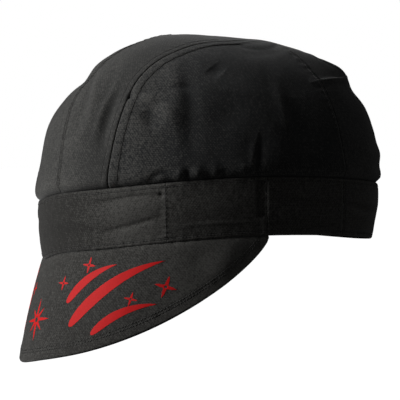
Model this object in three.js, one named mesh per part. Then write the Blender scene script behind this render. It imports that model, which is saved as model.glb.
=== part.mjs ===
// A cotton welding cap with a low crown, a wide band and a long soft brim, as it sits on a head.
// Frame: +Z up, the brim towards -Y, the wearer's left towards +X. The origin is the middle of
// the head opening, level with the band's lower edge at the sides. Angles go round the head:
// 0 at the front, 90 at the wearer's left, 180 at the back.
import * as THREE from "three";

// Driving dimensions in millimetres
const headLength = 216.4; // outside of the band, front to back
const headWidth = 167.4; // outside of the band, side to side
const crownHeight = 117.5; // band's lower edge at the side to the highest point
const peakForward = 20; // highest point, in front of the middle
const seamsMeetBehind = 28; // point where the crown's seams meet, behind the middle
const bandFrontHeight = 34.2;
const bandSideHeight = 33.5;
const bandBackHeight = 34;
const rimFrontDrop = 11; // how far the band's lower edge falls at the front
const rimBackDrop = 6; // and at the back
const bandFrontTaper = 3.5; // how far the band's lower edge pulls in at the front
const bandBackTaper = 5.5; // and at the back
const crownWall = 1.2;
const bandWall = 2; // folded double
const brimWall = 3; // two plies with quilting between
const crownTuck = 0.5; // crown's edge inside the band's outer face
const brimSetBack = 0.4; // brim's outer face inside the band's
const crownPuff = 2.4; // how far the crown swells over the band
const crownPuffRise = 6; // height of the fullest swell above the band
const brimLength = 65.4; // front middle of the rim to the brim's edge, along the cloth
const brimEndLength = 2; // depth left at the brim's two ends
const seamGap = 0.3; // between neighbouring pieces
const topOpening = 4; // greatest distance from the seams' meeting point to a panel's tip

const sagDepth = 7.1; // how much lower the cap sits over the wearer's right brow
const sagTop = 62; // height at which that has died away
const sagFull = 24; // height below which it is full

// Driving angles in degrees
const sagAngle = -17; // where the cap sits lowest
const sagFrontSpread = 16; // how fast that dies away towards the front
const sagSideSpread = 15; // and towards the wearer's right
const middleSeamAngle = 8.3; // front middle seam at the band, where the crown sits a little turned
const frontSeamAngle = 31.5; // crown seam between front and side panels, at the band
const backSeamAngle = 115; // crown seam between side and back panels, at the band
const bandFrontJoint = 51.5; // band joint beside the brow
const bandSideJoint = 84; // puckered band joint at the brim's end
const brimSpan = bandSideJoint + 1; // brim's end, each side of the front
const brimFrontLean = 20; // brim's front middle out of the vertical
const brimSideLean = 0; // brim's ends out of the vertical

// Shapes of the curves
const rimFrontPower = 2; // how narrow the front drop of the rim is
const crownFrontRound = 2; // superellipse powers of the crown's profile
const crownSideRound = 2.05;
const crownBackRound = 2.95;
const brimPeakPower = 1.4; // how narrow the prow is that the brim bends to at its middle
const brimEdgePower = 1.82;
const brimEdgeRound = 0.76;
const brimCurl = 0.32; // share of its outward run that the brim gives back by curving down
const taperPower = 1.2;

// Mesh density
const crownRows = 19;
const bandRows = 4;
const bandStep = 4;
const brimRows = 9;
const brimStep = 3.6;

// Small steps along a surface, for the direction that it faces
const smallTurn = 0.05; // degrees
const smallShare = 0.001;
const tiny = 1e-9;

const crownColour = 0x33322f;
const bandColour = 0x2f2e2c;
const brimColour = 0x363533;
const clothRoughness = 0.92;

const halfLength = headLength / 2;
const halfWidth = headWidth / 2;
const crownHalfLength = halfLength - crownTuck;
const crownHalfWidth = halfWidth - crownTuck;
const meanRadius = (halfLength + halfWidth) / 2;

// Folds of the crown. around: degrees at the band. up: share of the crown's height over the
// band. wide and tall: shares of crownHeight. deep: share of crownWall, in when negative.
// slant: degrees that the fold's line leans round for the whole height.
const crownFolds = [
  { name: "dent before the seam", around: 24, up: 0.55, wide: 0.05, tall: 0.22, deep: -2.2, slant: 14 },
  { name: "dent behind the seam", around: 47, up: 0.62, wide: 0.07, tall: 0.12, deep: -2.2, slant: 10 },
  { name: "swell behind the seam", around: 55, up: 0.74, wide: 0.08, tall: 0.1, deep: 1.8, slant: 8 },
  { name: "long crease", around: 58, up: 0.55, wide: 0.05, tall: 0.32, deep: -1.9, slant: 0 },
  { name: "side hollow", around: 76, up: 0.45, wide: 0.14, tall: 0.22, deep: -1.4, slant: 0 },
  { name: "sharp fold", around: 79, up: 0.2, wide: 0.05, tall: 0.16, deep: -2.2, slant: -12 },
  { name: "back shoulder", around: 128, up: 0.72, wide: 0.13, tall: 0.08, deep: 1.6, slant: 0 },
  { name: "back hollow", around: 124, up: 0.54, wide: 0.13, tall: 0.08, deep: -1.8, slant: 0 },
  { name: "nape bulge", around: 150, up: 0.16, wide: 0.2, tall: 0.08, deep: 1.2, slant: 0 },
  { name: "front fold", around: 8, up: 0.62, wide: 0.06, tall: 0.26, deep: -1.8, slant: 16 },
  { name: "front swell", around: -6, up: 0.4, wide: 0.1, tall: 0.3, deep: 1.1, slant: 0 },
  { name: "far front dent", around: -27, up: 0.5, wide: 0.06, tall: 0.24, deep: -2, slant: -10 },
  { name: "far side crease", around: -66, up: 0.5, wide: 0.06, tall: 0.3, deep: -1.9, slant: 0 },
  { name: "far side fold", around: -92, up: 0.24, wide: 0.06, tall: 0.18, deep: -2, slant: 10 },
  { name: "far back hollow", around: -132, up: 0.5, wide: 0.12, tall: 0.14, deep: -1.6, slant: 0 },
  { name: "middle back crease", around: 182, up: 0.4, wide: 0.06, tall: 0.26, deep: -1.6, slant: 6 },
];

// Gathers where the crown is eased into the band. deep is a share of crownPuff.
const crownGathers = [
  { name: "left", from: bandFrontJoint - 1, to: bandSideJoint + 4, folds: 5, deep: 0.34 },
  { name: "right", from: -bandSideJoint - 12, to: -bandFrontJoint, folds: 5, deep: 0.3 },
  { name: "back left", from: backSeamAngle + 5, to: 172, folds: 5, deep: 0.25 },
  { name: "back right", from: 188, to: 355 - backSeamAngle, folds: 5, deep: 0.25 },
];

// Seams of the crown. edge: degrees at the band. swing: degrees that the seam turns on its way
// up, beginning at the share "start" of the way to the meeting point and spread over "reach".
// ease: power of the turn, which starts slowly, or ends slowly where the power is negative.
const crownSeams = {
  middle: { edge: middleSeamAngle, swing: -11.5, start: 0, reach: 0.225, ease: -2 },
  left: { edge: frontSeamAngle, swing: 70, start: 0.15, reach: 0.75, ease: 1.75 },
  right: { edge: -frontSeamAngle, swing: -70, start: 0.15, reach: 0.75, ease: 1.75 },
  backLeft: { edge: backSeamAngle, swing: 0, start: 0, reach: 1, ease: 1 },
  backRight: { edge: -backSeamAngle, swing: 0, start: 0, reach: 1, ease: 1 },
};

const crownPanels = [
  { name: "crown_front_left", from: "middle", to: "left", columns: 12 },
  { name: "crown_front_right", from: "right", to: "middle", columns: 12 },
  { name: "crown_side_left", from: "left", to: "backLeft", columns: 20 },
  { name: "crown_side_right", from: "backRight", to: "right", columns: 20 },
  { name: "crown_back", from: "backLeft", to: "backRight", columns: 28 },
];

const bandPieces = [
  { name: "band_front", from: -bandFrontJoint, to: bandFrontJoint },
  { name: "band_side_left", from: bandFrontJoint, to: bandSideJoint },
  { name: "band_side_right", from: -bandSideJoint, to: -bandFrontJoint },
  { name: "band_rear_left", from: bandSideJoint, to: backSeamAngle },
  { name: "band_rear_right", from: -backSeamAngle, to: -bandSideJoint },
  { name: "band_back", from: backSeamAngle, to: 360 - backSeamAngle },
];

const radians = THREE.MathUtils.degToRad;
const degrees = THREE.MathUtils.radToDeg;

// A value that changes from the front to the sides and on to the back
function roundHead(cosine, front, side, back, frontPower = 2) {
  const goal = cosine > 0 ? front : back;
  const power = cosine > 0 ? frontPower : 2;
  return side + (goal - side) * Math.abs(cosine) ** power;
}

function rimHeight(cosine) {
  return roundHead(cosine, -rimFrontDrop, 0, -rimBackDrop, rimFrontPower);
}

function bandHeight(cosine) {
  return roundHead(cosine, bandFrontHeight, bandSideHeight, bandBackHeight);
}

function bandTop(cosine) {
  return rimHeight(cosine) + bandHeight(cosine);
}

// Outer face of the band at an angle, from its lower edge (up = 0) to its top (up = 1)
function bandPoint(angle, up) {
  const cosine = Math.cos(radians(angle));
  const taper = roundHead(cosine, bandFrontTaper, 0, bandBackTaper) * Math.max(1 - up, 0) ** taperPower;
  return new THREE.Vector3(
    halfWidth * Math.sin(radians(angle)),
    -(halfLength - taper) * cosine,
    rimHeight(cosine) + up * bandHeight(cosine),
  );
}

// Where the line from the crown's peak through a point of the plan meets the band's outline:
// the point's share of that line, and the cosine of the angle round the head there
function shareFromPeak(x, y) {
  const a = (x / crownHalfWidth) ** 2 + ((y + peakForward) / crownHalfLength) ** 2;
  const b = (-2 * (y + peakForward) * peakForward) / crownHalfLength ** 2;
  const c = (peakForward / crownHalfLength) ** 2 - 1;
  const reach = (-b + Math.sqrt(b * b - 4 * a * c)) / (2 * Math.max(a, tiny));
  const edgeY = (y + peakForward) * reach - peakForward;
  const cosine = THREE.MathUtils.clamp(-edgeY / crownHalfLength, -1, 1);
  return { share: Math.min(1 / reach, 1), cosine };
}

// The crown's plain dome. out is the share of the way from the seams' meeting point to the band.
function domePoint(angle, out) {
  const x = crownHalfWidth * Math.sin(radians(angle)) * out;
  const edgeY = -crownHalfLength * Math.cos(radians(angle));
  const y = seamsMeetBehind + (edgeY - seamsMeetBehind) * out;
  const { share, cosine } = shareFromPeak(x, y);
  const round = roundHead(cosine, crownFrontRound, crownSideRound, crownBackRound);
  const foot = bandTop(cosine) + seamGap;
  const rise = Math.max(1 - share ** round, 0) ** (1 / round);
  return new THREE.Vector3(x, y, foot + (crownHeight - foot) * rise);
}

// Smallest turn from one angle to another, in degrees
function turnBetween(from, to) {
  return ((((to - from) % 360) + 540) % 360) - 180;
}

// How far the crown stands out of the plain dome: the swell over the band, the gathers and folds
function crownRelief(angle, height) {
  const above = height - bandTop(Math.cos(radians(angle)));
  const up = above / (crownHeight - bandSideHeight);
  const rise = above / crownPuffRise;
  const swell = Math.max(rise, 0) * Math.exp(1 - rise);
  let relief = crownPuff * swell;
  for (const gather of crownGathers) {
    const along = turnBetween(gather.from, angle) / (gather.to - gather.from);
    if (along > 0 && along < 1) {
      const wave = Math.sin(2 * Math.PI * gather.folds * along) * Math.sin(Math.PI * along);
      relief += crownPuff * gather.deep * wave * swell;
    }
  }
  for (const fold of crownFolds) {
    const middle = fold.around + fold.slant * (up - fold.up);
    const aside = (radians(turnBetween(middle, angle)) * meanRadius) / (fold.wide * crownHeight);
    const along = ((up - fold.up) * crownHeight) / (fold.tall * crownHeight);
    relief += fold.deep * crownWall * Math.exp(-aside * aside - along * along);
  }
  return relief * THREE.MathUtils.clamp(above, 0, 1);
}

// Direction at right angles to a surface given by an angle round the head and a share
function normalOf(surface, angle, share) {
  const around = surface(angle + smallTurn, share).sub(surface(angle - smallTurn, share));
  const along = surface(angle, share + smallShare).sub(surface(angle, share - smallShare));
  return around.cross(along).normalize();
}

// Both faces of the crown's cloth at a place
function crownFaces(angle, out) {
  const inside = THREE.MathUtils.clamp(out, 2 * smallShare, 1 - 2 * smallShare);
  const normal = normalOf(domePoint, angle, inside);
  if (normal.z < 0) normal.negate();
  const place = domePoint(angle, out);
  place.addScaledVector(normal, crownRelief(angle, place.z));
  return [place, place.clone().addScaledVector(normal, -crownWall)];
}

function bandFaces(angle, up) {
  const normal = normalOf(bandPoint, angle, up);
  const place = bandPoint(angle, up);
  if (normal.x * place.x + normal.y * place.y < 0) normal.negate();
  normal.z = 0;
  normal.normalize();
  return [place, place.clone().addScaledVector(normal, -bandWall)];
}

// Centre of the brim's cloth, from the rim (down = 0) to the brim's edge (down = 1)
function brimPoint(angle, down) {
  const turn = radians(angle);
  const foot = bandPoint(angle, 0);
  const away = new THREE.Vector3(Math.sin(turn) / halfWidth, -Math.cos(turn) / halfLength, 0).normalize();
  const span = THREE.MathUtils.clamp(Math.abs(angle) / brimSpan, 0, 1);
  const curve = Math.max(1 - span ** brimEdgePower, 0) ** brimEdgeRound;
  const length = (brimEndLength + (brimLength - brimEndLength) * curve) * down;
  const prow = Math.cos(turn) ** brimPeakPower;
  const lean = radians(brimSideLean + (brimFrontLean - brimSideLean) * prow);
  const outward = length * Math.sin(lean) * (1 - (brimCurl * length) / brimLength);
  foot.addScaledVector(away, outward - brimSetBack - brimWall / 2);
  foot.z -= seamGap + length * Math.cos(lean);
  return foot;
}

function brimFaces(angle, down) {
  const inside = THREE.MathUtils.clamp(angle, -brimSpan + 2 * smallTurn, brimSpan - 2 * smallTurn);
  const normal = normalOf(brimPoint, inside, Math.max(down, 2 * smallShare));
  const place = brimPoint(angle, down);
  if (normal.x * place.x + normal.y * place.y < 0) normal.negate();
  if (down === 0) {
    normal.z = 0;
    normal.normalize();
  }
  const half = brimWall / 2;
  return [
    place.clone().addScaledVector(normal, half),
    place.clone().addScaledVector(normal, -half),
  ];
}

// How far the cap sags at a point: a bell round the head, full at the band and brim
function sagAt(point) {
  const aside = turnBetween(sagAngle, THREE.MathUtils.radToDeg(Math.atan2(point.x, -point.y)));
  const spread = aside > 0 ? sagFrontSpread : sagSideSpread;
  const share = THREE.MathUtils.smoothstep(sagTop - point.z, 0, sagTop - sagFull);
  return sagDepth * Math.exp(-((aside / spread) ** 2)) * share;
}

// A closed piece of cloth over a grid: faces(column, row) gives its outer and inner points
function clothSolid(columns, rows, faces) {
  const positions = [];
  const outer = (i, j) => (i * (rows + 1) + j) * 2;
  const inner = (i, j) => outer(i, j) + 1;
  for (let i = 0; i <= columns; i += 1) {
    for (let j = 0; j <= rows; j += 1) {
      for (const point of faces(i / columns, j / rows)) {
        positions.push(point.x, point.y, point.z - sagAt(point));
      }
    }
  }
  const triangles = [];
  const quad = (a, b, c, d) => triangles.push(a, b, c, a, c, d);
  for (let i = 0; i < columns; i += 1) {
    for (let j = 0; j < rows; j += 1) {
      quad(outer(i, j), outer(i + 1, j), outer(i + 1, j + 1), outer(i, j + 1));
      quad(inner(i, j), inner(i, j + 1), inner(i + 1, j + 1), inner(i + 1, j));
    }
    quad(outer(i, 0), inner(i, 0), inner(i + 1, 0), outer(i + 1, 0));
    quad(outer(i, rows), outer(i + 1, rows), inner(i + 1, rows), inner(i, rows));
  }
  for (let j = 0; j < rows; j += 1) {
    quad(outer(0, j), outer(0, j + 1), inner(0, j + 1), inner(0, j));
    quad(outer(columns, j), inner(columns, j), inner(columns, j + 1), outer(columns, j + 1));
  }
  if (signedVolume(positions, triangles) < 0) triangles.reverse();
  const geometry = new THREE.BufferGeometry();
  geometry.setAttribute("position", new THREE.Float32BufferAttribute(positions, 3));
  geometry.setIndex(triangles);
  geometry.computeVertexNormals();
  return geometry;
}

function signedVolume(positions, triangles) {
  const corner = (index) => new THREE.Vector3().fromArray(positions, index * 3);
  let volume = 0;
  for (let k = 0; k < triangles.length; k += 3) {
    const [a, b, c] = [0, 1, 2].map((step) => corner(triangles[k + step]));
    volume += a.dot(b.cross(c)) / 6;
  }
  return volume;
}

function cloth(name, geometry, color) {
  const material = new THREE.MeshStandardMaterial({ color, roughness: clothRoughness, metalness: 0 });
  const mesh = new THREE.Mesh(geometry, material);
  mesh.name = name;
  return mesh;
}

// Angle of a crown seam at a share of the way out from the meeting point
function seamAngle({ edge, swing, start, reach, ease }, out) {
  const along = THREE.MathUtils.clamp((1 - out - start) / reach, 0, 1);
  const turn = ease > 0 ? along ** ease : 1 - (1 - along) ** -ease;
  return edge + swing * turn;
}

// Crown rows crowd towards the band, where the dome stands upright
function crownPanel({ name, from, to, columns }) {
  const tip = topOpening / (halfLength + seamsMeetBehind);
  const faces = (across, along) => {
    const slope = (Math.PI / 2) * along;
    const out = tip + (1 - tip) * Math.sin(slope);
    const half = degrees(seamGap / 2 / (out * halfWidth));
    const first = seamAngle(crownSeams[from], out);
    const last = seamAngle(crownSeams[to], out);
    const span = last > first ? last - first : last - first + 360;
    return crownFaces(first + half + (span - 2 * half) * across, out);
  };
  return cloth(name, clothSolid(columns, crownRows, faces), crownColour);
}

function bandPiece({ name, from, to }) {
  const columns = Math.ceil((to - from) / bandStep);
  const half = degrees(seamGap / 2 / halfWidth);
  const faces = (across, along) => bandFaces(from + half + (to - from - 2 * half) * across, along);
  return cloth(name, clothSolid(columns, bandRows, faces), bandColour);
}

function brimPiece() {
  const columns = Math.ceil((2 * brimSpan) / brimStep);
  const faces = (across, along) => brimFaces(brimSpan * (2 * across - 1), along);
  return cloth("brim", clothSolid(columns, brimRows, faces), brimColour);
}

const cap = new THREE.Group();
for (const panel of crownPanels) cap.add(crownPanel(panel));
for (const piece of bandPieces) cap.add(bandPiece(piece));
cap.add(brimPiece());

export default cap;
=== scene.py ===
"""A black cotton welding cap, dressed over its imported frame.

Frame: +Z up, the brim towards -Y, the wearer's left towards +X. Angles go round the head in
degrees: 0 at the front, 90 at the wearer's left, 180 at the back. Shapes are worked out in
millimetres and put into the meshes in metres.
"""
import math
from collections import namedtuple

import bpy
import numpy as np
from mathutils import Matrix, Vector


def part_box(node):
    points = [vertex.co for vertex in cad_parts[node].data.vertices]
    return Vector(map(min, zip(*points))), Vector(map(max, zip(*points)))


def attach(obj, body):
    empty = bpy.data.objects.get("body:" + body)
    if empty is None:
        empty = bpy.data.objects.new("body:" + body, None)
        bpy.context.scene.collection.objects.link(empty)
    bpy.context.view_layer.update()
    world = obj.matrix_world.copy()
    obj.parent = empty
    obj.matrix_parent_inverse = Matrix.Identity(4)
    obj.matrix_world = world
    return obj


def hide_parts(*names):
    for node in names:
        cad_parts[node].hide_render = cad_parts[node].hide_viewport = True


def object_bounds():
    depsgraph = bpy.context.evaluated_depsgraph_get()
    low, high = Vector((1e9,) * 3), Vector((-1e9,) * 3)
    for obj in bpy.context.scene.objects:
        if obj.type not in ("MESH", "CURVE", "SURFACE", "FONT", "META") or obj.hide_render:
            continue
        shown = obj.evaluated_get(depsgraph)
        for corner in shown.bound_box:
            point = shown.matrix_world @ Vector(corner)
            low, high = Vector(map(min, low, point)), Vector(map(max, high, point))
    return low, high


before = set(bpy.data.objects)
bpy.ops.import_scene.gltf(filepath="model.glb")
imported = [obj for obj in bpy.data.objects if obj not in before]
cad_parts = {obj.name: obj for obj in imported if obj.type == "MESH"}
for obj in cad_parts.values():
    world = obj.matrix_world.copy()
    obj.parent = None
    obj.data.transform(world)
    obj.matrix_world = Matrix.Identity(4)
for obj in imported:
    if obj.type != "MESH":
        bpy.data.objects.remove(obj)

bl_info = {
    "name": "Welding cap",
    "version": (1, 0, 0),
    "blender": (4, 5, 0),
    "location": "View3D > Sidebar > Cap",
    "description": "Builds a cotton welding cap's cloth, stitching and print over its frame",
    "category": "Object",
}

CAD_BOX = [list(corner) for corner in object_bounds()]
MM = 0.001
TAU = 2 * math.pi

# Sizes of the cap in millimetres, the same as the frame's
HALF_LENGTH = 108.2
HALF_WIDTH = 83.7
CROWN_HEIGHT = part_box("crown_front_left")[1][2] / MM
PEAK_FORWARD = 20.0
SEAMS_MEET_BEHIND = 28.0
BAND_FRONT_HEIGHT, BAND_SIDE_HEIGHT, BAND_BACK_HEIGHT = 34.2, 33.5, 34.0
RIM_FRONT_DROP, RIM_BACK_DROP = 11.0, 6.0
BAND_FRONT_TAPER, BAND_BACK_TAPER = 3.5, 5.5
CROWN_WALL, BAND_WALL, BRIM_WALL = 1.2, 2.0, 3.0
CROWN_TUCK, BRIM_SET_BACK = 0.5, 0.4
BRIM_LENGTH, BRIM_END_LENGTH = 65.4, 2.0
SEAM_GAP = 0.12
TOP_OPENING = 0.2
CROWN_RISE = CROWN_HEIGHT - BAND_SIDE_HEIGHT
MEAN_RADIUS = (HALF_LENGTH + HALF_WIDTH) / 2

# Millimetres round the head in a degree
DEGREE = math.radians(1) * MEAN_RADIUS

# Angles in degrees
BAND_FRONT_JOINT, BAND_SIDE_JOINT = 51.5, 84.0
BACK_SEAM = 115.0
BRIM_SPAN = 85.0
BRIM_FRONT_LEAN, BRIM_SIDE_LEAN = 20.0, 0.0

# Sag of the cap over the wearer's right brow: depth, heights where it dies away and is full,
# angle, and spreads towards the front and the side
SAG_DEPTH, SAG_TOP, SAG_FULL = 7.1, 62.0, 24.0
SAG_ANGLE, SAG_FRONT_SPREAD, SAG_SIDE_SPREAD = -17.0, 16.0, 15.0

# Powers of the curves
RIM_FRONT_POWER = 2.0
CROWN_ROUNDS = (2.0, 2.05, 2.95)
BRIM_PEAK_POWER = 1.4
BRIM_EDGE_POWER, BRIM_EDGE_ROUND = 1.82, 0.76
BRIM_CURL = 0.32
TAPER_POWER = 1.2

# Seams of the crown: angle at the band, how far it turns on the way up, and over which stretch
# of the way to the meeting point. ease is the turn's power, or minus it where the turn ends slowly.
Seam = namedtuple("Seam", "name edge swing start reach ease")
CROWN_SEAMS = {
    seam.name: seam
    for seam in (
        Seam("middle", 8.3, -11.5, 0.0, 0.225, -2.0),
        Seam("left", 31.5, 70.0, 0.15, 0.75, 1.75),
        Seam("right", -31.5, -70.0, 0.15, 0.75, 1.75),
        Seam("back_left", BACK_SEAM, 0.0, 0.0, 1.0, 1.0),
        Seam("back_right", -BACK_SEAM, 0.0, 0.0, 1.0, 1.0),
    )
}

# Panels of the crown, with the cut's width and length in millimetres and its area in square
# millimetres, before sewing
Panel = namedtuple("Panel", "name first last columns flat area")
CROWN_PANELS = (
    Panel("crown_front_left", "middle", "left", 90, (46, 190), 6700),
    Panel("crown_front_right", "right", "middle", 110, (62, 190), 6900),
    Panel("crown_side_left", "left", "back_left", 180, (154, 186), 13000),
    Panel("crown_side_right", "back_right", "right", 180, (154, 186), 13000),
    Panel("crown_back", "back_left", "back_right", 200, (214, 136), 18600),
)
CROWN_ROWS = 150

# The brim's cut in the same units, its columns and rows, and the rows of its allowance above the
# rim in millimetres
BRIM_COLUMNS, BRIM_LINES = 300, 104
BRIM_ALLOWANCE = (-2.2, -1.6, -1.0, -0.5, -0.25)

# Rows of topstitching beside a seam: millimetres from the seam, positive towards larger angles
SEAM_ROWS = {
    "middle": (-1.1, 1.1),
    "left": (-3.9, 5.3),
    "right": (-5.3, 3.9),
    "back_left": (-2.2,),
    "back_right": (2.2,),
}
SEAM_DEPTHS = {"middle": 0.4, "left": 0.8, "right": 0.8, "back_left": 0.25, "back_right": 0.25}

# Band pieces between their joints
Stretch = namedtuple("Stretch", "name first last columns")
BAND_STRETCHES = (
    Stretch("band_front", -BAND_FRONT_JOINT, BAND_FRONT_JOINT, 260),
    Stretch("band_side_left", BAND_FRONT_JOINT, BAND_SIDE_JOINT, 90),
    Stretch("band_side_right", -BAND_SIDE_JOINT, -BAND_FRONT_JOINT, 90),
    Stretch("band_rear_left", BAND_SIDE_JOINT, BACK_SEAM, 80),
    Stretch("band_rear_right", -BACK_SEAM, -BAND_SIDE_JOINT, 80),
    Stretch("band_back", BACK_SEAM, 360 - BACK_SEAM, 260),
)
BAND_ROWS = 56

# Joints of the band: angle, height of the ridge and depth of the ditch beside it (a lip where it is
# below 0), the puckers' length, and how far behind the joint its row of stitches lies
Joint = namedtuple("Joint", "angle ridge ditch ripple row")
BAND_JOINTS = (
    Joint(BAND_FRONT_JOINT, 0.15, -0.1, 3.4, -0.3),
    Joint(BAND_SIDE_JOINT, 0.3, 0.5, 4.4, 0.9),
    Joint(BACK_SEAM, 0.3, 0.35, 6.0, 2.0),
)

# Strip of the band that is sunk before the side joint: angle, half its width, and depth
SUNK_ANGLE, SUNK_HALF, SUNK_DEPTH = 82.0, 3.1, 1.05

# Rows of topstitching along the band, above its lower edge and below its top, and inside the
# brim's edge, where each stitch turns by the slant in radians
BAND_LOW_ROW, BAND_TOP_ROW = 2.3, 2.2
BRIM_ROWS, BRIM_SLANT = (5.4, 7.0), 0.12

# Wear of the cloth, which also carries painted light and shade: 0 in a hollow, 0.5 where it is flat,
# 1 on a ridge, and kept in this range where a whole area is made paler or darker than that, by
# rubbing and by painted light and shade
LEAST_WEAR, FLAT_WEAR, MOST_WEAR = -0.4, 0.5, 1.9

# Share of the outer face's relief that the inner face of a single cloth and of the brim repeats
INNER_SHARE, BRIM_INNER_SHARE = 0.6, 0.8

# Folds of the cloth. shape: soft is a round hollow or ridge, sharp a creased one, and step a
# fold whose one side stands over the other. wide and deep in millimetres, out when positive.
# path: places that the fold runs through, as (angle, share of the height).
Fold = namedtuple("Fold", "name wide deep path shape", defaults=("soft",))
CROWN_FOLDS = (
    Fold("dent before the seam", 4.4, -2.5, ((25.6, 0.70), (25.6, 0.52), (26.4, 0.36), (27.6, 0.24))),
    Fold("ridge of that dent", 2.6, 1.0, ((22.2, 0.70), (22.2, 0.54), (23.4, 0.38))),
    Fold("nick at the seam", 1.5, -2.2, ((30.4, 0.635), (33.4, 0.615)), "sharp"),
    Fold("dent behind the seam", 4.6, -2.2, ((40.0, 0.52), (43.5, 0.45), (45.0, 0.38))),
    Fold("bump behind it", 4.2, 1.5, ((46.5, 0.56), (50.0, 0.46), (51.0, 0.38))),
    Fold("ridge over that dent", 3.0, 1.1, ((37.0, 0.60), (43.5, 0.585))),
    Fold("long crease", 5.2, 1.1, ((43.5, 0.83), (49.5, 0.64), (52.6, 0.47), (55.0, 0.20))),
    Fold("hollow behind it", 4.4, -0.8, ((48.5, 0.83), (54.5, 0.64), (57.4, 0.47), (59.4, 0.20))),
    Fold("short crease", 2.4, -0.6, ((46.5, 0.655), (55.5, 0.648))),
    Fold("shallow upper dent", 6.0, -1.2, ((60.0, 0.78), (66.0, 0.72))),
    Fold("gather 1", 1.8, -1.3, ((58.7, 0.0), (58.2, 0.08))),
    Fold("gather 2", 1.6, -0.3, ((65.4, 0.0), (65.0, 0.05))),
    Fold("gather 3", 3.4, -0.7, ((70.5, 0.0), (69.6, 0.07))),
    Fold("swell 1", 2.4, 1.1, ((61.8, 0.0), (61.4, 0.09))),
    Fold("swell 2", 3.0, 0.8, ((76.0, 0.0), (75.6, 0.10))),
    Fold("swell 3", 2.2, 0.5, ((67.2, 0.01), (66.8, 0.10))),
    Fold("arch over the band", 2.0, -1.1, ((45.5, 0.01), (48.5, 0.06), (51.0, 0.065), (53.5, 0.01))),
    Fold("swell beside it", 2.0, 0.7, ((56.0, 0.0), (55.6, 0.08))),
    Fold("sharp fold", 2.0, -0.6, ((81.0, 0.25), (80.0, 0.14), (78.6, -0.02)), "step"),
    Fold("hollow of that fold", 2.4, -0.4, ((81.6, 0.22), (79.8, 0.02))),
    Fold("side hollow", 12.0, -1.2, ((72.0, 0.60), (72.0, 0.32))),
    Fold("rear side hollow", 10.0, -1.1, ((96.0, 0.56), (99.0, 0.24))),
    Fold("rear side ridge", 4.0, 0.8, ((90.0, 0.66), (92.0, 0.30))),
    Fold("back crease", 1.0, 1.7, ((156.0, 0.765), (140.0, 0.735), (123.5, 0.70), (109.0, 0.665)), "sharp"),
    Fold("under that crease", 4.5, -0.7, ((160.0, 0.70), (140.0, 0.68), (122.0, 0.645))),
    Fold("fold at the back", 3.0, -1.7, ((146.0, 0.90), (152.0, 0.84), (156.0, 0.77)), "step"),
    Fold("back shoulder", 7.0, 1.3, ((140.0, 0.80), (164.0, 0.785))),
    Fold("back hollow", 8.0, -1.2, ((138.0, 0.665), (166.0, 0.655))),
    Fold("nape fold", 4.6, 1.0, ((128.0, 0.21), (172.0, 0.23))),
    Fold("nape hollow", 4.0, -0.8, ((132.0, 0.12), (170.0, 0.125))),
    Fold("lower back drag", 4.4, -0.8, ((118.0, 0.34), (134.0, 0.44), (150.0, 0.46))),
    Fold("front drag", 3.6, -1.2, ((-1.5, 0.84), (9.0, 0.64), (11.0, 0.42))),
    Fold("front ridge", 3.2, 0.9, ((5.0, 0.82), (15.0, 0.62), (17.0, 0.42))),
    Fold("front drag 2", 3.4, -0.9, ((12.0, 0.86), (19.0, 0.72), (20.5, 0.55))),
    Fold("brow hollow", 8.0, -2.8, ((-52.0, 0.79), (-4.0, 0.79))),
    Fold("brow swell", 14.0, 1.8, ((-44.0, 0.46), (0.0, 0.46))),
    Fold("V wrinkle 1", 2.6, -0.4, ((66.0, 0.945), (80.0, 0.895), (92.0, 0.90))),
    Fold("V wrinkle 2", 2.6, -0.4, ((92.0, 0.90), (104.0, 0.93), (116.0, 0.955))),
    Fold("V wrinkle 3", 4.0, -0.5, ((76.0, 0.86), (90.0, 0.865), (104.0, 0.90))),
    Fold("right dent", 4.6, -2.3, ((-25.0, 0.68), (-26.0, 0.50), (-27.5, 0.30))),
    Fold("right dent 2", 5.2, -2.0, ((-40.0, 0.62), (-43.0, 0.48))),
    Fold("right bump", 4.6, 1.4, ((-44.0, 0.70), (-52.0, 0.60))),
    Fold("right crease", 5.0, -1.3, ((-50.0, 0.80), (-60.0, 0.58), (-64.0, 0.30))),
    Fold("right ridge", 5.0, 0.7, ((-58.0, 0.80), (-68.0, 0.56), (-70.0, 0.34))),
    Fold("right gather 1", 2.8, -1.3, ((-59.0, 0.0), (-58.0, 0.13))),
    Fold("right gather 2", 2.8, -1.3, ((-68.0, 0.0), (-67.4, 0.15))),
    Fold("right gather 3", 2.8, -1.2, ((-77.0, 0.0), (-76.0, 0.13))),
    Fold("right swell 1", 2.8, 1.1, ((-63.5, 0.0), (-63.0, 0.13))),
    Fold("right swell 2", 2.8, 1.1, ((-72.5, 0.0), (-72.0, 0.13))),
    Fold("right fold", 2.6, 1.4, ((-95.0, 0.40), (-92.0, 0.22), (-89.0, -0.02)), "step"),
    Fold("right rear hollow", 10.0, -1.3, ((-104.0, 0.58), (-108.0, 0.26))),
    Fold("right back crease", 1.6, 1.1, ((-112.0, 0.67), (-130.0, 0.70), (-148.0, 0.74)), "sharp"),
    Fold("right back hollow", 9.0, -1.4, ((-124.0, 0.62), (-160.0, 0.64))),
    Fold("middle back crease", 6.0, -1.3, ((178.0, 0.66), (184.0, 0.40), (188.0, 0.14))),
    Fold("middle back ridge", 6.0, 0.8, ((190.0, 0.62), (197.0, 0.30))),
    Fold("right nape fold", 5.0, 0.8, ((-174.0, 0.22), (-134.0, 0.19))),
)

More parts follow.
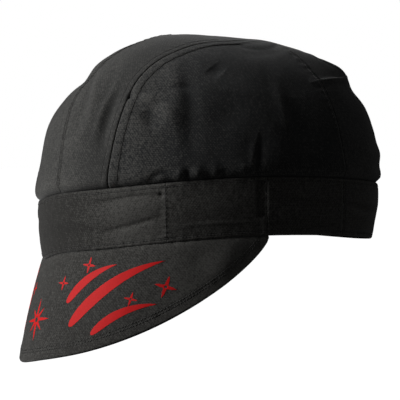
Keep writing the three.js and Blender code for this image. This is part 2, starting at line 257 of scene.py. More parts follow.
# Folds of the band, with heights as shares of the band's height
BAND_FOLDS = (
    Fold("lower drag", 1.2, -1.1, ((27.0, 0.28), (35.0, 0.33), (43.0, 0.385), (50.0, 0.465)), "sharp"),
    Fold("upper drag", 1.2, -0.9, ((23.0, 0.77), (38.5, 0.825), (50.0, 0.81)), "sharp"),
    Fold("middle swell", 4.2, 0.5, ((24.0, 0.55), (36.0, 0.58), (47.0, 0.63))),
    Fold("brow drag", 4.0, -0.6, ((4.0, 0.42), (16.0, 0.34), (26.0, 0.30))),
    Fold("brow ridge", 3.4, 0.5, ((6.0, 0.56), (18.0, 0.50), (28.0, 0.47))),
    Fold("low line", 0.9, 0.5, ((53.5, 0.275), (66.0, 0.265), (79.5, 0.25)), "sharp"),
    Fold("side swell", 9.0, 0.5, ((58.0, 0.55), (76.0, 0.55))),
    Fold("pinch at the joint", 1.4, -1.2, ((49.0, 0.83), (50.8, 0.805)), "sharp"),
    Fold("rear drag", 3.6, -0.7, ((86.0, 0.70), (98.0, 0.58), (110.0, 0.60))),
    Fold("rear drag 2", 4.4, 0.4, ((86.5, 0.42), (98.0, 0.36), (112.0, 0.42))),
    Fold("rear pinch", 2.2, -0.9, ((115.5, 0.56), (128.0, 0.46), (144.0, 0.50)), "step"),
    Fold("back swell", 7.0, 0.6, ((134.0, 0.72), (168.0, 0.70))),
    Fold("back drag", 4.6, -0.6, ((150.0, 0.36), (176.0, 0.30), (200.0, 0.38))),
    Fold("right lower drag", 2.6, -1.0, ((-30.0, 0.30), (-40.0, 0.38), (-47.0, 0.40)), "step"),
    Fold("right upper drag", 2.4, -0.7, ((-20.0, 0.72), (-36.0, 0.76), (-50.0, 0.75)), "step"),
    Fold("right side swell", 9.0, 0.5, ((-76.0, 0.55), (-58.0, 0.55))),
    Fold("right rear drag", 3.6, -0.7, ((-88.0, 0.64), (-100.0, 0.54), (-112.0, 0.60))),
)

# Folds of the brim, with heights as shares of its depth
BRIM_FOLDS = (
    Fold("bulge at the end", 6.0, 0.8, ((75.0, 0.10), (71.0, 0.45), (67.0, 0.75))),
    Fold("hollow before it", 7.0, -0.6, ((64.0, 0.08), (60.0, 0.50))),
    Fold("long ripple", 12.0, 0.5, ((46.0, 0.05), (40.0, 0.50), (36.0, 0.92))),
    Fold("front ripple", 12.0, -0.4, ((26.0, 0.05), (24.0, 0.55), (22.0, 0.95))),
    Fold("middle swell", 14.0, 0.5, ((4.0, 0.10), (2.0, 0.80))),
    Fold("right ripple", 12.0, -0.5, ((-24.0, 0.05), (-22.0, 0.95))),
    Fold("right ripple 2", 12.0, 0.5, ((-44.0, 0.05), (-36.0, 0.90))),
    Fold("right bulge", 6.0, 0.7, ((-75.0, 0.10), (-68.0, 0.75))),
)

# Print on the brim's cloth laid flat: x from its front middle and y down from the rim, in
# millimetres. A comet has its head's place, its tail's direction in degrees, length, fullest width
# and how far its middle bows. A spark has its middle, its reach, its spikes and its turn.
Comet = namedtuple("Comet", "x y turn length wide bow")
SIDE_COMETS = (
    Comet(30.0, 45.0, 32.0, 66.0, 8.6, 7.0),
    Comet(45.0, 50.0, 23.0, 40.0, 6.2, 4.5),
    Comet(26.0, 31.0, 34.0, 38.0, 6.4, 4.5),
)
Spark = namedtuple("Spark", "x y reach spikes turn")
SIDE_SPARKS = (
    Spark(38.0, 9.0, 5.0, 4, 8.0),
    Spark(86.0, 25.0, 6.4, 4, 20.0),
    Spark(20.0, 19.0, 4.4, 4, 4.0),
    Spark(67.0, 30.5, 4.2, 4, 16.0),
)
FRONT_SPARKS = (Spark(0.0, 40.0, 13.0, 8, 0.0),)


def hex_colour(code):
    """Linear colour of an sRGB hex value: each channel is undone by the sRGB curve."""
    channels = [int(code[place:place + 2], 16) / 255 for place in (1, 3, 5)]
    linear = [c / 12.92 if c <= 0.04045 else ((c + 0.055) / 1.055) ** 2.4 for c in channels]
    return (*linear, 1.0)


def length_property(name, description, default, least=0.0):
    """A size in millimetres that a user can set."""
    return bpy.props.FloatProperty(
        name=name, description=description + ", mm", default=default, min=least)


def colour_property(name, description, code):
    """A colour that a user can set."""
    return bpy.props.FloatVectorProperty(
        name=name, description=description, subtype="COLOR", size=4, default=hex_colour(code))


class CapSizes(bpy.types.PropertyGroup):
    """Sizes of the cap's finish that a user would change, in millimetres."""

    puff: length_property("Crown swell", "How far the crown swells over the band", 2.4)
    puff_rise: length_property("Swell height", "Height of the fullest swell above the band", 6.0, 1.0)
    folds: bpy.props.FloatProperty(
        name="Folds", description="Strength of the folds", default=1.0, min=0, subtype="FACTOR")
    rumple: length_property("Rumple", "Height of the cloth's soft unevenness", 0.22)
    pucker: length_property("Pucker", "Height of the puckers along the stitching", 0.16)
    stitch: length_property("Stitch length", "Length of one stitch", 1.8, 0.5)
    thread: length_property("Thread", "Thickness of the sewing thread", 0.42, 0.1)
    wale: length_property("Twill pitch", "Distance between the twill's diagonal ribs", 1.25, 0.2)


class CapColours(bpy.types.PropertyGroup):
    """Colours of the cap's cloth, thread and print."""

    # The crown's front and its sides and back are one twill in two tones: the sides and back are darker as
    # painted shade, where the key light falls off
    crown: colour_property("Crown's front", "Cloth of the crown's front panels", "#363635")
    crown_side: colour_property("Crown's sides and back", "Cloth of the crown's other panels", "#262728")
    band: colour_property("Band", "Cloth of the band", "#2d2c2a")
    brim: colour_property("Brim", "Cloth of the brim", "#333230")
    # The pale colour of cloth whose dye has come off, also the colour that painted highlights on the panels,
    # band and brim mix towards
    worn_and_lit: colour_property("Worn cloth", "Cloth where the dye has rubbed off", "#5d5c59")
    thread: colour_property("Thread", "Sewing thread", "#474644")
    print: colour_property("Print", "Ink of the print on the brim", "#ea2526")


class CapStage(bpy.types.PropertyGroup):
    """Where the camera stands and how strong the lights are."""

    azimuth: bpy.props.FloatProperty(name="Azimuth", description="Camera azimuth, degrees", default=60.0)
    elevation: bpy.props.FloatProperty(name="Elevation", description="Camera elevation, degrees", default=1.2)
    roll: bpy.props.FloatProperty(name="Roll", description="Turn about the view, degrees", default=0.5)
    distance: bpy.props.FloatProperty(
        name="Distance", description="Camera distance", default=1.3, unit="LENGTH")
    pixel: bpy.props.FloatProperty(
        name="Pixel", description="Real size of a pixel at the cap's middle, mm", default=0.605)
    key: bpy.props.FloatProperty(
        name="Key light", description="Power of the key light", default=21.0, unit="POWER")
    top: bpy.props.FloatProperty(
        name="Top light", description="Power of the top light", default=0.2, unit="POWER")
    sky: bpy.props.FloatProperty(name="Sky", description="Strength of the room's light", default=0.045)


# Surfaces of the cap


def smooth(value):
    """Smooth step from 0 to 1."""
    value = np.clip(value, 0, 1)
    return value * value * (3 - 2 * value)


def unit(vectors):
    """Vectors brought to length 1."""
    return vectors / np.maximum(np.linalg.norm(vectors, axis=-1, keepdims=True), 1e-12)


def lengths_along(line):
    """Length of each segment of a line of points, and the length reached at each point."""
    lengths = np.linalg.norm(np.diff(line, axis=0), axis=1)
    return lengths, np.concatenate([[0], np.cumsum(lengths)])


def turn_between(start, end):
    """Smallest turn from one angle to another, in degrees."""
    return (np.asarray(end) - start + 540) % 360 - 180


def round_head(cosine, front, side, back, front_power=2.0):
    """A value round the head: side + (front or back - side) times the cosine's size to a power."""
    ahead = np.abs(cosine) ** front_power * (front - side)
    behind = cosine ** 2 * (back - side)
    return side + np.where(cosine > 0, ahead, behind)


def rim_height(cosine):
    return round_head(cosine, -RIM_FRONT_DROP, 0.0, -RIM_BACK_DROP, RIM_FRONT_POWER)


def band_height(cosine):
    return round_head(cosine, BAND_FRONT_HEIGHT, BAND_SIDE_HEIGHT, BAND_BACK_HEIGHT)


def band_top(cosine):
    return rim_height(cosine) + band_height(cosine)


def band_place(angle, up):
    """Outer face of the band: an oval whose length shrinks towards the lower edge by the tapers."""
    turn = np.radians(angle)
    cosine = np.cos(turn)
    below = np.maximum(1 - up, 0) ** TAPER_POWER
    taper = round_head(cosine, BAND_FRONT_TAPER, 0.0, BAND_BACK_TAPER) * below
    x = HALF_WIDTH * np.sin(turn)
    y = -(HALF_LENGTH - taper) * cosine
    return np.stack([x, y, rim_height(cosine) + up * band_height(cosine)], -1)


def share_from_peak(x, y):
    """A point's share of the line from the crown's peak to the band's oval, and the cosine there.

    The line's reach is the positive root of the quadratic that puts its end on the oval."""
    long, wide = HALF_LENGTH - CROWN_TUCK, HALF_WIDTH - CROWN_TUCK
    ahead = y + PEAK_FORWARD
    a = (x / wide) ** 2 + (ahead / long) ** 2
    b = -2 * ahead * PEAK_FORWARD / long ** 2
    c = (PEAK_FORWARD / long) ** 2 - 1
    reach = (-b + np.sqrt(b * b - 4 * a * c)) / (2 * np.maximum(a, 1e-9))
    cosine = np.clip(-(ahead * reach - PEAK_FORWARD) / long, -1, 1)
    return np.clip(1 / reach, 0, 1), cosine


def dome_place(angle, out):
    """The crown's plain dome: a superellipse of the share from the peak, on the band's top."""
    turn = np.radians(angle)
    x = (HALF_WIDTH - CROWN_TUCK) * np.sin(turn) * out
    edge_y = -(HALF_LENGTH - CROWN_TUCK) * np.cos(turn)
    y = SEAMS_MEET_BEHIND + (edge_y - SEAMS_MEET_BEHIND) * out
    share, cosine = share_from_peak(x, y)
    power = round_head(cosine, *CROWN_ROUNDS)
    foot = band_top(cosine) + SEAM_GAP
    rise = np.maximum(1 - share ** power, 0) ** (1 / power)
    return np.stack([x, y, foot + (CROWN_HEIGHT - foot) * rise], -1)


def brim_depth(angle):
    """Depth of the brim along the cloth: full at the front, rounded off towards its ends."""
    span = np.clip(np.abs(angle) / BRIM_SPAN, 0, 1)
    curve = np.maximum(1 - span ** BRIM_EDGE_POWER, 0) ** BRIM_EDGE_ROUND
    return BRIM_END_LENGTH + (BRIM_LENGTH - BRIM_END_LENGTH) * curve


def brim_place(angle, down):
    """Middle of the brim's cloth: lines that leave the rim leaning out, most in front, and curve down
    by giving back a share of their outward run that grows along their length.

    Above the rim, where down is below 0, it is an allowance that lies against the band's lining."""
    turn = np.radians(angle)
    foot = band_place(angle, np.zeros_like(turn))
    away = unit(np.stack([np.sin(turn) / HALF_WIDTH, -np.cos(turn) / HALF_LENGTH, 0 * turn], -1))
    length = brim_depth(angle) * down
    lean = np.radians(BRIM_SIDE_LEAN + (BRIM_FRONT_LEAN - BRIM_SIDE_LEAN) * np.cos(turn) ** BRIM_PEAK_POWER)
    outward = np.maximum(length, 0) * np.sin(lean) * (1 - BRIM_CURL * length / BRIM_LENGTH)
    outward -= BRIM_SET_BACK + BRIM_WALL / 2
    place = foot + away * (outward - 1.1 * smooth(-length / 0.5))[..., None]
    place[..., 2] -= SEAM_GAP + length * np.cos(lean)
    return place


def facing(surface, angle, share, inside=(0.002, 0.998)):
    """Outward directions of a surface, from its slopes along both of its parameters."""
    share = np.clip(share, *inside)
    around = surface(angle + 0.05, share) - surface(angle - 0.05, share)
    along = surface(angle, share + 0.001) - surface(angle, share - 0.001)
    normal = unit(np.cross(around, along))
    place = surface(angle, share)
    middle = np.array([0.0, 0.0, CROWN_HEIGHT * 0.3])
    sign = np.sign(np.sum(normal * (place - middle), -1, keepdims=True))
    return normal * np.where(sign == 0, 1, sign)


# Relief of the cloth

# Sine waves that make up a soft unevenness
RUMPLE_WAVES = 26


def bell(distance, wide):
    return np.exp(-(distance / wide) ** 2)


def rumple(places, seed, longest, shortest):
    """Soft unevenness: a sum of sine waves in random directions, of wavelengths in a range."""
    random = np.random.default_rng(seed)
    way = unit(random.normal(size=(RUMPLE_WAVES, 3)))
    length = shortest * (longest / shortest) ** random.random(RUMPLE_WAVES)
    start = random.random(RUMPLE_WAVES) * TAU
    strength = np.sqrt(length / longest)
    strength /= np.sqrt(np.sum(strength ** 2) / 2)
    total = np.zeros(places.shape[:-1])
    for k in range(RUMPLE_WAVES):
        total += strength[k] * np.sin(places @ (way[k] * TAU / length[k]) + start[k])
    return total


def fold_line(surface, path):
    """A fold's path on a surface, as points joined by a smooth curve through its places."""
    path = np.array(path, float)
    steps = np.linspace(0, len(path) - 1, 8 * (len(path) - 1) + 1)
    if len(path) > 2:
        curve = np.polynomial.polynomial.polyfit(np.arange(len(path)), path, len(path) - 1)
        path = np.polynomial.polynomial.polyval(steps, curve).T
    else:
        path = path[0] + (path[1] - path[0]) * (steps / (len(path) - 1))[:, None]
    return surface(path[:, 0], path[:, 1])


def line_distance(places, normals, line):
    """Distance from each place to a line, the share along it, and the side it lies on.

    Each segment's nearest point is kept where it is the closest; the side is the sign of the
    offset against the segment's direction turned about the surface's normal."""
    best = np.full(places.shape[:-1], 1e9)
    share = np.zeros_like(best)
    side = np.zeros_like(best)
    lengths, reached = lengths_along(line)
    for k in range(len(line) - 1):
        way = line[k + 1] - line[k]
        offset = places - line[k]
        along = np.clip(offset @ way / (way @ way), 0, 1)
        offset = offset - along[..., None] * way
        far = np.linalg.norm(offset, axis=-1)
        closer = far < best
        best = np.where(closer, far, best)
        share = np.where(closer, (reached[k] + along * lengths[k]) / reached[-1], share)
        across = np.cross(way, offset)
        side = np.where(closer, np.sign(np.sum(across * normals, -1)), side)
    return best, share, side


def folded(places, normals, surface, folds, strength):
    """Sum of the folds: each a soft, sharp or stepped profile across its line, fading at its ends."""
    relief = np.zeros(places.shape[:-1])
    for fold in folds:
        line = fold_line(surface, fold.path)
        reach = 3.2 * fold.wide
        near = np.all((places > line.min(0) - reach) & (places < line.max(0) + reach), -1)
        if not near.any():
            continue
        distance, share, side = line_distance(places[near], normals[near], line)
        ends = np.sqrt(np.clip(np.sin(math.pi * np.clip(share, 0.03, 0.97)), 0, 1))
        if fold.shape == "soft":
            profile = bell(distance, fold.wide)
        elif fold.shape == "sharp":
            profile = np.exp(-np.sqrt((distance / fold.wide) ** 2 + 0.05) + 0.22)
        else:
            profile = side * (distance / fold.wide) * np.exp(0.5 - 0.5 * (distance / fold.wide) ** 2)
        relief[near] += strength * fold.deep * profile * ends
    return relief


def seam_angle(seam, out):
    """Angle of a crown seam at a share of the way out from the meeting point."""
    along = np.clip((1 - out - seam.start) / seam.reach, 0, 1)
    turn = along ** seam.ease if seam.ease > 0 else 1 - (1 - along) ** -seam.ease
    return seam.edge + seam.swing * turn


def seam_measures(seam, out):
    """Millimetres across a crown seam for a degree of turn, and millimetres along it, at out."""
    table = np.linspace(0.012, 1, 240)
    line = dome_place(seam_angle(seam, table), table)
    angle = seam_angle(seam, table)
    around = dome_place(angle + 0.5, table) - dome_place(angle - 0.5, table)
    across = np.linalg.norm(np.cross(around, unit(np.gradient(line, axis=0))), axis=1)
    return np.interp(out, table, across), np.interp(out, table, lengths_along(line)[1])


def seam_relief(angle, out, sizes):
    """Relief of the crown's felled seams: a ditch at the seam, a raised strip under each row of
    topstitching, a groove along the row and puckers that die away from it."""
    relief = np.zeros(np.broadcast(angle, out).shape)
    calm = smooth((out - 0.2) / 0.3)
    for name, seam in CROWN_SEAMS.items():
        per_degree, along = seam_measures(seam, out)
        across = turn_between(seam_angle(seam, out), angle) * per_degree
        rows = SEAM_ROWS[name]
        depth = SEAM_DEPTHS[name] * calm
        for side in (-1, 1):
            spread = max((side * row for row in rows), default=0)
            strip = smooth((spread + 1.2 - side * across) / 1.6) * (side * across > 0)
            relief += (0.6 if spread > 4 else 0.3) * strip * (spread > 0) * depth
        relief -= 0.7 * bell(across, 0.5) * depth
        for row in rows:
            relief -= 0.3 * bell(across - row, 0.6) * depth
            wave = np.sin(TAU * along / 6.3 + 3 * np.sin(along / 11.0) + row)
            relief += sizes.pucker * wave * bell(across - row, 3.4) * calm
    return relief


def crown_relief(angle, out, places, normals, sizes):
    """Everything that stands out of the plain dome: swell, folds, seams and unevenness."""
    cosine = np.cos(np.radians(angle))
    above = places[..., 2] - band_top(cosine)
    rise = above / sizes.puff_rise
    swell = np.maximum(rise, 0) * np.exp(1 - rise)
    relief = sizes.puff * swell
    relief += folded(places, normals, dome_at_height, CROWN_FOLDS, sizes.folds)
    relief += seam_relief(angle, out, sizes)
    relief += 0.9 * sizes.rumple * rumple(places, 11, 48, 18)
    relief += 0.12 * sizes.rumple * rumple(places, 12, 12, 5)
    relief *= smooth(above / 1.6 + 0.12)
    foot = np.exp(-np.maximum(above, 0) / 1.2)
    return relief - 1.4 * foot


def dome_at_height(angle, up):
    """Place on the dome at a share of its rise over the band, found by halving the interval."""
    low, high = np.full_like(angle, 0.02), np.ones_like(angle)
    top = band_top(np.cos(np.radians(angle)))
    goal = top + np.clip(up, 0, 0.985) * CROWN_RISE
    for _ in range(24):
        middle = (low + high) / 2
        over = dome_place(angle, middle)[..., 2] > goal
        low, high = np.where(over, middle, low), np.where(over, high, middle)
    return dome_place(angle, low)


def band_relief(angle, up, places, normals, sizes):
    """Relief of the band: folds, grooves of the topstitching, joints, the sunk strip and edges.
    Across a joint, distances are positive towards the back."""
    cosine = np.cos(np.radians(angle))
    height = up * band_height(cosine)
    from_top = band_height(cosine) - height
    around = turn_between(0, angle) * DEGREE
    relief = folded(places, normals, band_place, BAND_FOLDS, sizes.folds)
    relief += 0.6 * np.sin(math.pi * np.clip(up, 0, 1)) ** 2
    wave = np.sin(TAU * around / 6.8 + 2.4 * np.sin(around / 13.0))
    for row in (height - BAND_LOW_ROW, from_top - BAND_TOP_ROW):
        relief -= 0.22 * bell(row, 0.62)
        relief += 0.5 * sizes.pucker * wave * bell(row, 2.6)
    for joint in BAND_JOINTS:
        for side in (1, -1):
            across = turn_between(side * joint.angle, angle) * DEGREE * side
            pucker = np.sin(TAU * height / joint.ripple + 2.0 * np.sin(height / 7.0))
            relief += joint.ridge * bell(across + 1.3, 1.5)
            relief -= joint.ditch * bell(across, 0.5)
            relief += 0.8 * sizes.pucker * pucker * bell(across, 3.2)
    for side in (1, -1):
        across = smooth((SUNK_HALF - np.abs(turn_between(side * SUNK_ANGLE, angle) * DEGREE)) / 0.8)
        relief -= SUNK_DEPTH * across * smooth((up - 0.3) / 0.05) * smooth((0.97 - up) / 0.05)
    relief += 0.45 * sizes.rumple * rumple(places, 21, 38, 15)
    relief += 0.03 * rumple(places, 22, 9, 4)
    relief -= 0.95 * np.exp(-np.maximum(height, 0) / 0.6)
    relief -= 0.8 * np.exp(-np.maximum(from_top, 0) / 0.7)
    return relief


def brim_edge():
    """The brim's lower edge as a line of points."""
    angle = np.linspace(-BRIM_SPAN, BRIM_SPAN, 241)
    return brim_place(angle, np.ones_like(angle))


def brim_relief(angle, down, places, normals, sizes):
    """Relief of the brim's outer face: ripples, the stitched edge and a soft unevenness."""
    relief = folded(places, normals, brim_place, BRIM_FOLDS, sizes.folds)
    edge = line_distance(places, normals, brim_edge())[0]
    around = angle * DEGREE
    wave = np.sin(TAU * around / 7.2 + 2.2 * np.sin(around / 12.0))
    for row in BRIM_ROWS:
        relief -= 0.1 * bell(edge - row, 0.6)
    relief += 0.4 * sizes.pucker * wave * bell(edge - sum(BRIM_ROWS) / 2, 3.4)
    from_rim = np.maximum(down * brim_depth(angle), 0)
    relief += 0.5 * sizes.pucker * wave * bell(from_rim, 2.6) - 0.8 * np.exp(-from_rim / 1.1)
    relief += 0.4 * sizes.rumple * rumple(places, 31, 48, 20)
    relief += 0.02 * rumple(places, 32, 9, 4)
    return relief


# Meshes


def index_grid(columns, rows, first=0):
    return first + np.arange(columns * rows).reshape(columns, rows)


def grid_quads(ids):
    return np.stack([ids[:-1, :-1], ids[1:, :-1], ids[1:, 1:], ids[:-1, 1:]], -1).reshape(-1, 4)


def join_lines(first, second):
    """Quads between two rows of points of the same length."""
    return np.stack([first[:-1], second[:-1], second[1:], first[1:]], -1)


def shell_faces(columns, rows, ring=False):
    """Quads of a closed sheet: the outer grid, the inner grid turned round and its edges. A ring's
    last column joins its first."""
    outer = index_grid(columns, rows)
    inner = index_grid(columns, rows, columns * rows)
    if ring:
        outer, inner = (np.concatenate([ids, ids[:1]]) for ids in (outer, inner))
    parts = [grid_quads(outer), grid_quads(inner)[:, ::-1]]
    parts.append(join_lines(outer[:, 0], inner[:, 0]))
    parts.append(join_lines(inner[:, -1], outer[:, -1]))
    if not ring:
        parts.append(join_lines(inner[0], outer[0]))
        parts.append(join_lines(outer[-1], inner[-1]))
    return np.concatenate(parts)


def outward(points, faces):
    """The faces as they are, or all turned round where the mesh would be inside out."""
    a, b, c, d = (points[faces[:, k]] for k in range(4))
    volume = np.sum(np.cross(a, b) * c) + np.sum(np.cross(a, c) * d)
    return faces if volume > 0 else faces[:, ::-1]


def sagged(points):
    """The points lowered by the cap's sag: a bell round the head, full at the band and brim."""
    aside = turn_between(SAG_ANGLE, np.degrees(np.arctan2(points[:, 0], -points[:, 1])))
    bell_round = bell(aside, np.where(aside > 0, SAG_FRONT_SPREAD, SAG_SIDE_SPREAD))
    lowered = points.copy()
    lowered[:, 2] -= SAG_DEPTH * bell_round * smooth((SAG_TOP - points[:, 2]) / (SAG_TOP - SAG_FULL))
    return lowered


def mesh_object(name, points, faces, material, uv=None, values=None):
    """A mesh object from points in millimetres and quads, with its UV map and point attributes."""
    mesh = bpy.data.meshes.new(name)
    points = sagged(points)
    faces = outward(points, faces)
    mesh.vertices.add(len(points))
    mesh.vertices.foreach_set("co", (points * MM).astype(np.float32).ravel())
    mesh.loops.add(faces.size)
    mesh.loops.foreach_set("vertex_index", faces.astype(np.int32).ravel())
    mesh.polygons.add(len(faces))
    mesh.polygons.foreach_set("loop_start", np.arange(0, faces.size, 4, dtype=np.int32))
    mesh.update(calc_edges=True)
    mesh.polygons.foreach_set("use_smooth", np.ones(len(faces), bool))
    if uv is not None:
        layer = mesh.uv_layers.new(name="cloth")
        layer.data.foreach_set("uv", (uv * MM)[faces.ravel()].astype(np.float32).ravel())
    for label, data in (values or {}).items():
        attribute = mesh.attributes.new(label, "FLOAT", "POINT")
        attribute.data.foreach_set("value", data.astype(np.float32).ravel())
    mesh.materials.append(material)
    mesh.validate()
    piece = bpy.data.objects.new(name, mesh)
    bpy.context.scene.collection.objects.link(piece)
    return piece


def wear_of(relief):
    """Wear from the relief's curvature on its grid: ridges near 1, hollows near 0, flat 0.5."""
    smoothed = relief.copy()
    for _ in range(3):
        smoothed[1:-1] = (smoothed[:-2] + 2 * smoothed[1:-1] + smoothed[2:]) / 4
        smoothed[:, 1:-1] = (smoothed[:, :-2] + 2 * smoothed[:, 1:-1] + smoothed[:, 2:]) / 4
    bend = np.zeros_like(smoothed)
    bend[1:-1] -= smoothed[:-2] - 2 * smoothed[1:-1] + smoothed[2:]
    bend[:, 1:-1] -= smoothed[:, :-2] - 2 * smoothed[:, 1:-1] + smoothed[:, 2:]
    return FLAT_WEAR + 0.5 * np.tanh(bend / 0.11)


def wear_with_painted_light(relief, rubbing_and_painted_light):
    """Wear that the relief gives, with the paling or darkening of a whole area, from rubbing and from painted
    light and shade, as one row of values.
    """
    return np.clip(wear_of(relief) + rubbing_and_painted_light, LEAST_WEAR, MOST_WEAR).ravel()


def cloth_piece(name, places, normals, relief, wall, uv, material, rubbing_and_painted_light):
    """A closed sheet of cloth: the outer face stands out by the relief, and the inner face follows
    it by a share."""
    columns, rows = relief.shape
    outer = places + normals * relief[..., None]
    inner = places + normals * (INNER_SHARE * relief - wall)[..., None]
    points = np.concatenate([outer.reshape(-1, 3), inner.reshape(-1, 3)])
    # Rubbing, plus painted light and shade, in the value that pales or darkens the outer face
    wear = wear_with_painted_light(relief, rubbing_and_painted_light)
    values = {"wear": np.concatenate([wear, np.full(wear.size, FLAT_WEAR)])}
    both = np.concatenate([uv.reshape(-1, 2), uv.reshape(-1, 2)])
    return mesh_object(name, points, shell_faces(columns, rows), material, both, values)


def sewn(piece, node):
    """Hangs a cloth piece from the frame's root and hides the frame's part that it dresses."""
    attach(piece, "root")
    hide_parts(node)


# Thread

# Rings of points along a stitch, from one end at -1 to the other at 1, and points round each ring
STITCH_RINGS = np.linspace(-1, 1, 6)
STITCH_SIDES = 6


def even_steps(line, normals, step):
    """Points at even steps along a line, with the directions along it and out of the cloth."""
    reached = lengths_along(line)[1]
    at = np.arange(step / 2, reached[-1] - step / 2, step)

    def read(values, where):
        return np.stack([np.interp(where, reached, values[:, k]) for k in range(3)], -1)

    way = unit(read(line, at + 0.5) - read(line, at - 0.5))
    normal = read(normals, at)
    normal = unit(normal - way * np.sum(way * normal, 1, keepdims=True))
    return read(line, at), way, normal


def stitches(line, normals, sizes, slant=0.0):
    """Stitches along a line: each a tube of six sides whose radius is thread/2 sqrt(1 - 0.6 u^4) at
    the share u of its half length, and whose ends dip towards the cloth by u^4. slant turns each
    stitch a little across the line."""
    place, way, normal = even_steps(line, normals, sizes.stitch * 1.12)
    side = np.cross(normal, way)
    way = way * math.cos(slant) + side * math.sin(slant)
    side = np.cross(normal, way)
    u = STITCH_RINGS
    v = np.arange(STITCH_SIDES) / STITCH_SIDES * TAU
    radius = sizes.thread / 2 * np.sqrt(1 - 0.6 * u ** 4)
    dip = 0.12 - 0.3 * sizes.thread * u ** 4
    along = u * sizes.stitch / 2
    points = (
        place[:, None, None]
        + way[:, None, None] * along[None, :, None, None]
        + side[:, None, None] * (radius[:, None] * np.cos(v))[None, :, :, None]
        + normal[:, None, None] * (dip[:, None] + radius[:, None] * np.sin(v))[None, :, :, None]
    )
    count = len(place)
    ids = np.arange(count * len(u) * len(v)).reshape(count, len(u), len(v))
    closed = np.concatenate([ids, ids[:, :, :1]], 2)
    tube = np.stack([closed[:, :-1, :-1], closed[:, 1:, :-1], closed[:, 1:, 1:], closed[:, :-1, 1:]], -1)
    caps = [ring[:, half] for ring in (ids[:, 0], ids[:, -1, ::-1]) for half in ([0, 1, 2, 3], [0, 3, 4, 5])]
    return points.reshape(-1, 3), np.concatenate([tube.reshape(-1, 4), *caps])


def stitches_on(cloth, sizes):
    """Stitches along a line on the finished cloth, from its places, normals and relief."""
    places, normals, relief = cloth
    return stitches(places + normals * relief[:, None], normals, sizes)


def joined(parts):
    """The points and faces of several meshes as those of one."""
    firsts = np.cumsum([0] + [len(points) for points, _ in parts])
    faces = [faces + first for (_, faces), first in zip(parts, firsts)]
    return np.concatenate([points for points, _ in parts]), np.concatenate(faces)


def thread_piece(name, runs):
    """One object from several runs of stitches. ends is 0 in a stitch's middle and 1 at its ends, and the
    thread's material paints shade by it.
    """
    points, faces = joined(runs)
    ends = np.repeat(np.abs(STITCH_RINGS) ** 3, STITCH_SIDES)
    values = {"ends": np.tile(ends, len(points) // len(ends))}
    piece = mesh_object(name, points, faces, thread_material(), values=values)
    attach(piece, "root")


# Materials


def add_node(tree, kind, inputs=None, links=None, **settings):
    """Adds a node with its settings, its input values and links from other nodes' sockets."""
    node = tree.nodes.new(kind)
    for name, value in settings.items():
        setattr(node, name, value)
    for key, value in (inputs or {}).items():
        node.inputs[key].default_value = value
    for key, socket in (links or {}).items():
        tree.links.new(socket, node.inputs[key])
    return node


def new_material(name):
    material = bpy.data.materials.new(name)
    material.use_nodes = True
    tree = material.node_tree
    tree.nodes.clear()
    output = tree.nodes.new("ShaderNodeOutputMaterial")
    return material, tree, output


def wave_scale(pitch_mm):
    """Scale of a Wave texture whose bands lie a real distance apart: it has 20 radians a unit."""
    return TAU / (20 * pitch_mm * MM)


def noise(tree, place, size, detail, roughness=0.5):
    """Noise on the object's own coordinates, with its largest grains of a size in millimetres."""
    inputs = {"Scale": 1 / (size * MM), "Detail": detail, "Roughness": roughness}
    return add_node(tree, "ShaderNodeTexNoise", inputs, {"Vector": place.outputs["Object"]}).outputs["Fac"]


def point_value(tree, name):
    """A point attribute of the mesh as a value."""
    node = add_node(tree, "ShaderNodeAttribute", attribute_name=name, attribute_type="GEOMETRY")
    return node.outputs["Fac"]


def ranged(tree, value, start, end, clamp=True):
    """A value mapped from one range to another."""
    inputs = {"From Min": start[0], "From Max": start[1], "To Min": end[0], "To Max": end[1]}
    return add_node(tree, "ShaderNodeMapRange", inputs, {"Value": value}, clamp=clamp).outputs[0]


def calculated(tree, operation, first, second, clamp=False):
    """Two values added, subtracted or multiplied, and kept between 0 and 1 where clamped."""
    links = {0: first, 1: second}
    return add_node(tree, "ShaderNodeMath", links=links, operation=operation, use_clamp=clamp).outputs[0]


def mixed(tree, share, first, second):
    """A colour between two, by a share."""
    return add_node(tree, "ShaderNodeMix", {6: first, 7: second}, {0: share}, data_type="RGBA").outputs[2]


def darker(colour, share):
    """A colour with its channels lowered to a share."""
    return (*(share * channel for channel in colour[:3]), 1.0)


def set_finish(tree, output, looks, colour, height, strength, deep):
    """A Principled surface with a colour and a bump of a depth in millimetres."""
    bump = {"Strength": strength, "Distance": deep * MM}
    lumps = add_node(tree, "ShaderNodeBump", bump, {"Height": height}).outputs["Normal"]
    shader = add_node(
        tree, "ShaderNodeBsdfPrincipled", looks, {"Base Color": colour, "Normal": lumps})
    tree.links.new(shader.outputs["BSDF"], output.inputs["Surface"])


# The twill: slope of its ribs in degrees, the picks' spacing as a share of the ribs', and sizes of
# its slubs, faded patches and lint in millimetres
RIB_SLOPE, PICK_SHARE = 38, 0.8
SLUB_SIZE, FADE_SIZE, LINT_SPACING = 1.35, 34, 7.5


